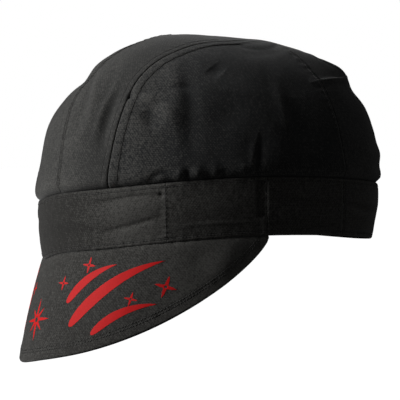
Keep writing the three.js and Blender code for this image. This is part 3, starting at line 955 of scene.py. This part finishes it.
def black_cotton_twill(name, dye, worn_and_lit, pitch):
    """Black cotton drill, piece-dyed and washed. To the eye: a matte dark grey with a fine
    diagonal rib, paler on ridges and seam edges where the dye has come off, with lint and a
    weak velvet sheen at grazing angles. The same paling also carries painted light and shade:
    paler where light falls on the panels, band and brim, darker where shade falls. The rib is
    drawn coarser than the real 0.6 mm twill, so that it shows in the render."""
    material, tree, output = new_material(name)
    cloth = add_node(tree, "ShaderNodeUVMap", uv_map="cloth")
    turned = add_node(
        tree, "ShaderNodeMapping", {"Rotation": (0, 0, math.radians(RIB_SLOPE))},
        {"Vector": cloth.outputs["UV"]})
    ribs = add_node(
        tree, "ShaderNodeTexWave",
        {"Scale": wave_scale(pitch), "Distortion": 2.2, "Detail": 2.0, "Detail Scale": 2.0},
        {"Vector": turned.outputs["Vector"]}, wave_type="BANDS", bands_direction="X", wave_profile="SIN")
    picks = add_node(
        tree, "ShaderNodeTexWave",
        {"Scale": wave_scale(pitch * PICK_SHARE), "Distortion": 1.8, "Detail": 2.0},
        {"Vector": cloth.outputs["UV"]}, wave_type="BANDS", bands_direction="Y", wave_profile="SIN")
    place = add_node(tree, "ShaderNodeTexCoord")
    slubs = noise(tree, place, SLUB_SIZE, 4.0, 0.8)
    fade = noise(tree, place, FADE_SIZE, 4.0, 0.6)
    lint = add_node(
        tree, "ShaderNodeTexVoronoi", {"Scale": 1 / (LINT_SPACING * MM), "Randomness": 1.0},
        {"Vector": place.outputs["Object"]}, feature="F1")
    weave = calculated(tree, "MULTIPLY", ribs.outputs["Fac"], picks.outputs["Fac"])
    uneven = add_node(
        tree, "ShaderNodeMath", {1: 0.16}, {0: weave, 2: slubs}, operation="MULTIPLY_ADD").outputs[0]
    grain = ranged(tree, uneven, (0.32, 0.76), (-0.7, 0.7), clamp=False)
    # Painted light and shade ride on the same value as the rubbing: the dye is made paler or darker by it
    rubbing_and_painted_light = ranged(tree, point_value(tree, "wear"), (LEAST_WEAR, MOST_WEAR), (-0.18, 0.64))
    faded = ranged(tree, fade, (0.35, 0.7), (0.0, 0.14))
    specks = ranged(tree, lint.outputs["Distance"], (0.035, 0.055), (0.35, 0.0))
    pale = calculated(tree, "ADD", calculated(tree, "ADD", rubbing_and_painted_light, faded), grain, clamp=True)
    pale = calculated(tree, "ADD", pale, specks, clamp=True)
    looks = {
        "Roughness": 0.93, "IOR": 1.45, "Specular IOR Level": 0.18, "Sheen Weight": 0.18,
        "Sheen Roughness": 0.5}
    set_finish(tree, output, looks, mixed(tree, pale, dye, worn_and_lit), uneven, 0.55, 0.22)
    return material


def spun_thread(name, dye):
    """Spun polyester sewing thread, dyed to match. To the eye: a little smoother and paler than
    the cloth, with fine twisted plies. Painted shade darkens each stitch towards its ends, where it
    goes down into its hole."""
    material, tree, output = new_material(name)
    plies = noise(tree, add_node(tree, "ShaderNodeTexCoord"), 0.5, 2.0)
    lit = add_node(
        tree, "ShaderNodeMath", {1: 0.5, 2: 0.55}, {0: plies}, operation="MULTIPLY_ADD").outputs[0]
    # Painted shade: the thread turns to a dark copy of its dye towards each stitch's ends
    out = calculated(tree, "SUBTRACT", lit, point_value(tree, "ends"), clamp=True)
    looks = {"Roughness": 0.7, "IOR": 1.5, "Sheen Weight": 0.15}
    set_finish(tree, output, looks, mixed(tree, out, darker(dye, 0.12), dye), plies, 0.4, 0.1)
    return material


def plastisol_ink(name, ink):
    """Plastisol screen print, cured on the twill. To the eye: an opaque satin red film that the
    weave's ribs still show through, a little scuffed where they stand up."""
    material, tree, output = new_material(name)
    grain = noise(tree, add_node(tree, "ShaderNodeTexCoord"), 1.1, 3.0, 0.65)
    looks = {"Roughness": 0.62, "IOR": 1.5, "Specular IOR Level": 0.15}
    set_finish(tree, output, looks, mixed(tree, grain, darker(ink, 0.72), ink), grain, 0.4, 0.15)
    return material


WHITE = (1, 1, 1, 1)


def pale_floor(name):
    """A matt white painted board, so evenly lit that it reads as white paper."""
    material, tree, output = new_material(name)
    looks = {
        "Base Color": hex_colour("#f6f6f5"), "Roughness": 0.9, "Emission Color": WHITE,
        "Emission Strength": 1.0}
    shader = add_node(tree, "ShaderNodeBsdfPrincipled", looks)
    tree.links.new(shader.outputs["BSDF"], output.inputs["Surface"])
    return material


def shared_material(name, make, *values):
    return bpy.data.materials.get(name) or make(name, *values)


def cloth_material(part):
    """The twill of one part of the cap, in its colour: its dye, and for the crown's sides and back a darker
    copy of the front's that is painted shade.
    """
    scene = bpy.context.scene
    colours = scene.cap_colours
    return shared_material(
        "black_cotton_twill_" + part, black_cotton_twill,
        tuple(getattr(colours, part)), tuple(colours.worn_and_lit), scene.cap_sizes.wale)


def thread_material():
    return shared_material("spun_thread_black", spun_thread, tuple(bpy.context.scene.cap_colours.thread))


# Pieces


def crown_cloth(angle, out, sizes):
    """Place on the crown's dome, the direction out of it and the relief there."""
    places = dome_place(angle, out)
    normals = facing(dome_place, angle, out)
    return places, normals, crown_relief(angle, out, places, normals, sizes)


def panel_rubbing_and_painted_light(name, aside):
    """How much a panel is made paler or darker, by degrees from the front: the front panels paler near the
    middle, the side panels palest just behind the two front seams, and darker further round. This is painted
    light and shade that follow the key light, with rubbing beside the seams.
    """
    if "front" in name:
        return 0.3 - 0.7 * smooth((aside - 12) / 12)
    if "side" in name:
        return 0.5 * bell(aside - 38, 8) - 0.5 * smooth((aside - 46) / 10)
    return -0.2


def band_rubbing_and_painted_light(aside):
    """How much the band is made paler or darker: painted light and shade, paler round 41 degrees where the
    light falls and darker at the brow, in the shade under the crown's swell; and a pale strip of rubbing on
    the front joint, with the band darker just behind it.
    """
    # Painted light and shade: paler round 41 degrees, darker at the brow under the crown's swell
    brow = 1.15 * bell(aside - 41, 11) - 1.4 * bell(aside, 22)
    joint = bell(aside - BAND_FRONT_JOINT + 0.5, 0.6) - 0.35 * bell(aside - 58, 6)
    return 0.4 + brow + joint


def crown_panel(panel, sizes):
    """One panel: columns run between its seams and rows from the meeting point to the band."""
    tip = TOP_OPENING / (HALF_LENGTH + SEAMS_MEET_BEHIND)
    along = np.linspace(0, 1, CROWN_ROWS)
    out = tip + (1 - tip) * np.sin(math.pi / 2 * along)
    first = seam_angle(CROWN_SEAMS[panel.first], out)
    last = seam_angle(CROWN_SEAMS[panel.last], out)
    last = np.where(last < first, last + 360, last)
    angle = first + (last - first) * np.linspace(0, 1, panel.columns)[:, None]
    out = np.broadcast_to(out, angle.shape)
    places, normals, relief = crown_cloth(angle, out, sizes)
    steps = np.linalg.norm(np.diff(places, axis=0), axis=-1)
    u = np.concatenate([np.zeros((1, CROWN_ROWS)), np.cumsum(steps, 0)])
    u -= u[-1:] / 2
    steps = np.linalg.norm(np.diff(places, axis=1), axis=-1)
    v = np.concatenate([np.zeros((panel.columns, 1)), np.cumsum(steps, 1)], 1)
    v = np.broadcast_to(v[panel.columns // 2], v.shape)
    # The side and back panels take the darker twill, which is painted shade
    piece = cloth_piece(
        panel.name + "_cloth", places, normals, relief, CROWN_WALL, np.stack([u, v], -1),
        cloth_material("crown" if "front" in panel.name else "crown_side"),
        panel_rubbing_and_painted_light(panel.name, np.abs(turn_between(0, angle))))
    sewn(piece, panel.name)


def seam_row(name, offset, sizes):
    """A row of topstitching beside a crown seam, on the finished cloth."""
    seam = CROWN_SEAMS[name]
    out = np.sin(np.linspace(0.42, math.pi / 2 - 0.03, 260))
    per_degree, _ = seam_measures(seam, out)
    angle = seam_angle(seam, out) + offset / per_degree
    return stitches_on(crown_cloth(angle, out, sizes), sizes)


def band_cloth(angle, up, sizes):
    places = band_place(angle, up)
    normals = facing(band_place, angle, up)
    return places, normals, band_relief(angle, up, places, normals, sizes)


def band_stretch(stretch, sizes):
    """One stretch of the band: rows crowd towards its two edges, which roll in."""
    angle = np.linspace(stretch.first, stretch.last, stretch.columns)[:, None]
    up = (0.5 - 0.5 * np.cos(np.linspace(0, math.pi, BAND_ROWS)))[None, :] * 0.6
    up = up + np.linspace(0, 1, BAND_ROWS)[None, :] * 0.4
    angle, up = np.broadcast_arrays(angle, up)
    places, normals, relief = band_cloth(angle, up, sizes)
    u = angle * DEGREE
    v = up * BAND_SIDE_HEIGHT
    piece = cloth_piece(
        stretch.name + "_cloth", places, normals, relief, BAND_WALL, np.stack([u, v], -1),
        cloth_material("band"), band_rubbing_and_painted_light(np.abs(turn_between(0, angle))))
    sewn(piece, stretch.name)


def band_row(height, sizes):
    """A row of topstitching round the band, at a height above its lower edge or below its top."""
    angle = np.linspace(-180, 180, 1400)
    cosine = np.cos(np.radians(angle))
    share = height / band_height(cosine)
    up = np.where(share < 0, 1 + share, share)
    return stitches_on(band_cloth(angle, up, sizes), sizes)


def joint_row(angle, offset, sizes):
    """A row of stitches up a joint of the band."""
    up = np.linspace(0.04, 0.97, 120)
    turn = np.full_like(up, angle + offset / DEGREE)
    return stitches_on(band_cloth(turn, up, sizes), sizes)


def brim_cloth(angle, down, sizes):
    places = brim_place(angle, down)
    normals = facing(brim_place, np.clip(angle, 0.1 - BRIM_SPAN, BRIM_SPAN - 0.1), down, (0.02, 0.998))
    return places, normals, brim_relief(angle, down, places, normals, sizes)


def brim_wall(angle, down):
    """Half the brim's thickness: full inside, rounded to nothing at the outer edge."""
    from_edge = (1 - down) * brim_depth(angle)
    half = BRIM_WALL / 2
    inside = np.clip(1 - from_edge / half, 0, 1)
    allowance = smooth(-down * brim_depth(angle) / 0.5)
    return (0.12 + (half - 0.12) * np.sqrt(1 - inside ** 2)) * (1 - 0.7 * allowance)


def brim_grid():
    """Columns and rows of the brim: columns crowd towards its ends, rows towards its edge."""
    across = np.linspace(-1, 1, BRIM_COLUMNS)
    angle = (0.75 * across + 0.25 * np.sin(across * math.pi / 2)) * BRIM_SPAN
    down = 1 - (1 - np.linspace(0, 1, BRIM_LINES)) ** 1.35
    above = np.array(BRIM_ALLOWANCE)[None, :] / brim_depth(angle)[:, None]
    down = np.concatenate([above, np.broadcast_to(down, (len(across), len(down)))], 1)
    return np.broadcast_arrays(angle[:, None], down)


def brim_piece(sizes):
    """The brim: the same relief on both faces, because its two plies are stitched together."""
    angle, down = brim_grid()
    places, normals, relief = brim_cloth(angle, down, sizes)
    half = brim_wall(angle, down)
    outer = places + normals * (relief + half)[..., None]
    inner = places + normals * (BRIM_INNER_SHARE * relief - half)[..., None]
    points = np.concatenate([outer.reshape(-1, 3), inner.reshape(-1, 3)])
    u = angle * DEGREE
    uv = np.stack([u, down * brim_depth(angle)], -1).reshape(-1, 2)
    edge = (1 - down) * brim_depth(angle)
    # Painted highlight: the brim grows much paler from 34 degrees round towards its ends; the slight paling
    # along its edge is rubbing
    wear = wear_with_painted_light(relief, 0.25 * bell(edge, 1.6) + 1.7 * smooth((np.abs(angle) - 34) / 34))
    piece = mesh_object(
        "brim_cloth", points, shell_faces(*angle.shape), cloth_material("brim"),
        np.concatenate([uv, uv]), {"wear": np.concatenate([wear, wear])})
    sewn(piece, "brim")


def brim_row(inset, sizes):
    """A row of topstitching at a distance inside the brim's edge.

    For each angle, the distance to the edge is worked out all the way down, and the row lies
    where it equals the inset."""
    angle = np.linspace(0.985 * -BRIM_SPAN, 0.985 * BRIM_SPAN, 420)
    down = np.linspace(0, 1, 90)
    turn, deep = np.broadcast_arrays(angle[:, None], down[None, :])
    places = brim_place(turn, deep)
    distance = line_distance(places, np.zeros_like(places), brim_edge())[0]
    nearest = np.abs(distance - inset) + 100 * (deep < 0.02)
    pick = np.argmin(nearest, 1)
    good = nearest[np.arange(len(angle)), pick] < 0.6
    before = distance[np.arange(len(angle)), np.maximum(pick - 1, 0)]
    after = distance[np.arange(len(angle)), np.minimum(pick + 1, len(down) - 1)]
    shift = (inset - (before + after) / 2) / np.where(np.abs(after - before) < 1e-6, -1e6, after - before)
    row = np.clip(down[pick] + 2 * shift * (down[1] - down[0]), 0.01, 0.99)
    angle, row = angle[good], row[good]
    places, normals, relief = brim_cloth(angle, row, sizes)
    return stitches(places + normals * (relief + BRIM_WALL / 2)[:, None], normals, sizes, BRIM_SLANT)


def comet_ribbon(comet):
    """A comet: a round head and a long tail, bowed as a parabola, as a grid of points across it.
    The width goes with u^0.42 (1-u)^0.95 of the share u from the head."""
    u = np.linspace(0, 1, 44) ** 1.5
    turn = math.radians(comet.turn)
    way = np.array([math.cos(turn), -math.sin(turn)])
    side = np.array([way[1], -way[0]])
    bow = 4 * u * (1 - u) * comet.bow
    centre = np.array([comet.x, comet.y]) + u[:, None] * comet.length * way + bow[:, None] * side
    width = comet.wide / 2 * 1.9 * (u + 0.0004) ** 0.42 * (1.003 - u) ** 0.95
    along = unit(np.gradient(centre, axis=0))
    across = np.stack([-along[:, 1], along[:, 0]], -1)
    shares = np.array([-1, -0.97, -0.5, 0, 0.5, 0.97, 1])
    return centre[:, None] + across[:, None] * (shares * width[:, None])[..., None]


def spark_ring(spark):
    """A spark: rays round a small open core, as a closed ring of columns. The reach falls from a
    ray's tip to the hollow beside it by the power 2.6 of the share turned, and where there are
    more than four rays each second one is shorter."""
    turn = np.linspace(0, TAU, 24 * spark.spikes, endpoint=False)
    ray = np.abs(1 - 2 * (turn * spark.spikes / TAU % 1)) ** 2.6
    long = np.where(np.round(turn * spark.spikes / TAU) % 2 == 0, 1.0, 0.66 if spark.spikes > 4 else 1.0)
    reach = spark.reach * (0.24 + 0.76 * ray * long)
    core = 0.13 * spark.reach
    share = np.array([0, 0.05, 0.5, 0.9625, 1])
    radius = core + (reach - core)[:, None] * share
    turn = turn[:, None] + math.radians(spark.turn)
    return np.stack([spark.x + radius * np.cos(turn), spark.y + radius * np.sin(turn)], -1)


def print_film(flat, ring, sizes):
    """Lays a flat motif on the brim's outer face as a thin closed film."""
    angle = flat[..., 0] / DEGREE
    down = flat[..., 1] / brim_depth(angle)
    places, normals, relief = brim_cloth(angle, down, sizes)
    lift = relief + brim_wall(angle, down)
    top = places + normals * (lift + 0.1)[..., None]
    base = places + normals * (lift - 0.12)[..., None]
    points = np.concatenate([top.reshape(-1, 3), base.reshape(-1, 3)])
    return points, outward(points, shell_faces(*flat.shape[:2], ring))


def print_piece(name, motifs, sizes):
    """One object from the films of its motifs, each a flat grid and whether it is a ring."""
    ink = tuple(bpy.context.scene.cap_colours.print)
    points, faces = joined([print_film(flat, ring, sizes) for flat, ring in motifs])
    piece = mesh_object(name, points, faces, shared_material("plastisol_ink_red", plastisol_ink, ink))
    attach(piece, "root")


# Floor, lights and camera

# The photograph's width, and how far its middle lies right of and above the target, in pixels
PICTURE_WIDTH = 400
AIM_RIGHT, AIM_UP = -10.6, -27.5

# Half the floor's width, and how far the floor lies below the cap, in metres
FLOOR_REACH, FLOOR_DROP = 40.0, 0.22
TARGET = Vector((0, 0, 35 * MM))


def view_axes(azimuth, elevation):
    """Directions to a viewer's right, up and back, where the viewer looks at the target from an
    azimuth and elevation in degrees."""
    a, e = math.radians(azimuth), math.radians(elevation)
    back = Vector((math.sin(a) * math.cos(e), -math.cos(a) * math.cos(e), math.sin(e)))
    right = Vector((math.cos(a), math.sin(a), 0))
    return right, back.cross(right), back


def lay_floor():
    """A wide floor that lights nothing."""
    mesh = bpy.data.meshes.new("floor")
    far, low = FLOOR_REACH, CAD_BOX[0][2] - FLOOR_DROP
    corners = [(-far, -far, low), (far, -far, low), (far, far, low), (-far, far, low)]
    mesh.from_pydata(corners, [], [(0, 1, 2, 3)])
    mesh.materials.append(shared_material("pale_floor", pale_floor))
    floor = bpy.data.objects.new("floor", mesh)
    floor.visible_diffuse = False
    floor.visible_glossy = False
    bpy.context.scene.collection.objects.link(floor)


def area_light(name, azimuth, elevation, distance, size, power):
    """A square soft light that looks at the target from an azimuth and elevation."""
    light = bpy.data.lights.new(name, "AREA")
    light.shape = "SQUARE"
    light.size = size
    light.energy = power
    lamp = bpy.data.objects.new(name, light)
    back = view_axes(azimuth, elevation)[2]
    turn = back.to_track_quat("Z", "Y").to_matrix().to_4x4()
    lamp.matrix_world = Matrix.Translation(TARGET + back * distance) @ turn
    bpy.context.scene.collection.objects.link(lamp)


def white_room(strength):
    """A room whose light has a strength, and which the camera sees as white paper."""
    world = bpy.data.worlds.new("room")
    world.use_nodes = True
    tree = world.node_tree
    tree.nodes.clear()
    seen = add_node(tree, "ShaderNodeLightPath")
    room = add_node(tree, "ShaderNodeBackground", {"Color": WHITE, "Strength": strength})
    paper = add_node(tree, "ShaderNodeBackground", {"Color": WHITE, "Strength": 1.0})
    mix = add_node(
        tree, "ShaderNodeMixShader",
        links={0: seen.outputs["Is Camera Ray"], 1: room.outputs[0], 2: paper.outputs[0]})
    out = tree.nodes.new("ShaderNodeOutputWorld")
    tree.links.new(mix.outputs[0], out.inputs["Surface"])
    bpy.context.scene.world = world


def place_camera(stage):
    """A camera at the photograph's view, with the photograph's scale and middle."""
    right, up, back = view_axes(stage.azimuth, stage.elevation)
    roll = math.radians(stage.roll)
    right, up = right * math.cos(roll) + up * math.sin(roll), up * math.cos(roll) - right * math.sin(roll)
    aim = TARGET + right * (AIM_RIGHT * stage.pixel * MM) + up * (AIM_UP * stage.pixel * MM)
    data = bpy.data.cameras.new("camera")
    data.sensor_width = 36
    data.lens = data.sensor_width * stage.distance / (PICTURE_WIDTH * stage.pixel * MM)
    camera = bpy.data.objects.new("camera", data)
    axes = Matrix((right, up, back)).transposed().to_4x4()
    camera.matrix_world = Matrix.Translation(aim + back * stage.distance) @ axes
    bpy.context.scene.collection.objects.link(camera)
    bpy.context.scene.camera = camera


# Operators


class CAP_OT_crown(bpy.types.Operator):
    """Build the crown's five panels of cloth"""

    bl_idname = "cap.crown"
    bl_label = "Crown panels"

    def execute(self, context):
        for panel in CROWN_PANELS:
            crown_panel(panel, context.scene.cap_sizes)
        return {"FINISHED"}


class CAP_OT_band(bpy.types.Operator):
    """Build the band's six stretches"""

    bl_idname = "cap.band"
    bl_label = "Band"

    def execute(self, context):
        for stretch in BAND_STRETCHES:
            band_stretch(stretch, context.scene.cap_sizes)
        return {"FINISHED"}


class CAP_OT_brim(bpy.types.Operator):
    """Build the quilted brim"""

    bl_idname = "cap.brim"
    bl_label = "Brim"

    def execute(self, context):
        brim_piece(context.scene.cap_sizes)
        return {"FINISHED"}


class CAP_OT_stitching(bpy.types.Operator):
    """Sew the rows of topstitching on the crown, the band and the brim"""

    bl_idname = "cap.stitching"
    bl_label = "Topstitching"

    def execute(self, context):
        sizes = context.scene.cap_sizes
        rows = [seam_row(name, offset, sizes) for name, offsets in SEAM_ROWS.items() for offset in offsets]
        thread_piece("crown_topstitching", rows)
        rows = [band_row(BAND_LOW_ROW, sizes), band_row(-BAND_TOP_ROW, sizes)]
        for side in (1, -1):
            rows += [joint_row(side * joint.angle, side * joint.row, sizes) for joint in BAND_JOINTS]
        thread_piece("band_topstitching", rows)
        thread_piece("brim_topstitching", [brim_row(inset, sizes) for inset in BRIM_ROWS])
        return {"FINISHED"}


class CAP_OT_print(bpy.types.Operator):
    """Print the comets and sparks on both sides and the front of the brim"""

    bl_idname = "cap.print"
    bl_label = "Print"

    def execute(self, context):
        sizes = context.scene.cap_sizes
        side = [(comet_ribbon(comet), False) for comet in SIDE_COMETS]
        side += [(spark_ring(spark), True) for spark in SIDE_SPARKS]
        print_piece("print_left", side, sizes)
        mirror = np.array([-1.0, 1.0])
        print_piece("print_right", [(flat * mirror, ring) for flat, ring in side], sizes)
        print_piece("print_front", [(spark_ring(spark), True) for spark in FRONT_SPARKS], sizes)
        return {"FINISHED"}


class CAP_OT_stage(bpy.types.Operator):
    """Set the floor, the soft lights and the camera"""

    bl_idname = "cap.stage"
    bl_label = "Floor, lights and camera"

    def execute(self, context):
        stage = context.scene.cap_stage
        lay_floor()
        area_light("key", azimuth=-11, elevation=22, distance=1.5, size=0.8, power=stage.key)
        area_light("top", azimuth=215, elevation=68, distance=1.3, size=0.7, power=stage.top)
        white_room(stage.sky)
        context.scene.view_settings.view_transform = "Standard"
        place_camera(stage)
        return {"FINISHED"}


class CAP_PT_panel(bpy.types.Panel):
    """Sizes, colours and steps of the cap"""

    bl_idname = "CAP_PT_panel"
    bl_label = "Welding cap"
    bl_space_type = "VIEW_3D"
    bl_region_type = "UI"
    bl_category = "Cap"

    def draw(self, context):
        scene = context.scene
        for group in (scene.cap_sizes, scene.cap_colours, scene.cap_stage):
            box = self.layout.box()
            for name in type(group).__annotations__:
                box.prop(group, name)
        for step in STEPS:
            self.layout.operator(step.bl_idname)


GROUPS = {"cap_sizes": CapSizes, "cap_colours": CapColours, "cap_stage": CapStage}
STEPS = (CAP_OT_stage, CAP_OT_crown, CAP_OT_band, CAP_OT_brim, CAP_OT_stitching, CAP_OT_print)


def register():
    for cls in (*GROUPS.values(), *STEPS, CAP_PT_panel):
        bpy.utils.register_class(cls)
    for name, group in GROUPS.items():
        setattr(bpy.types.Scene, name, bpy.props.PointerProperty(type=group))


def unregister():
    for name in GROUPS:
        delattr(bpy.types.Scene, name)
    for cls in reversed((*GROUPS.values(), *STEPS, CAP_PT_panel)):
        bpy.utils.unregister_class(cls)


def main():
    register()
    bpy.ops.cap.stage()
    bpy.ops.cap.crown()
    bpy.ops.cap.band()
    bpy.ops.cap.brim()
    bpy.ops.cap.stitching()
    bpy.ops.cap.print()


if __name__ == "__main__":
    main()
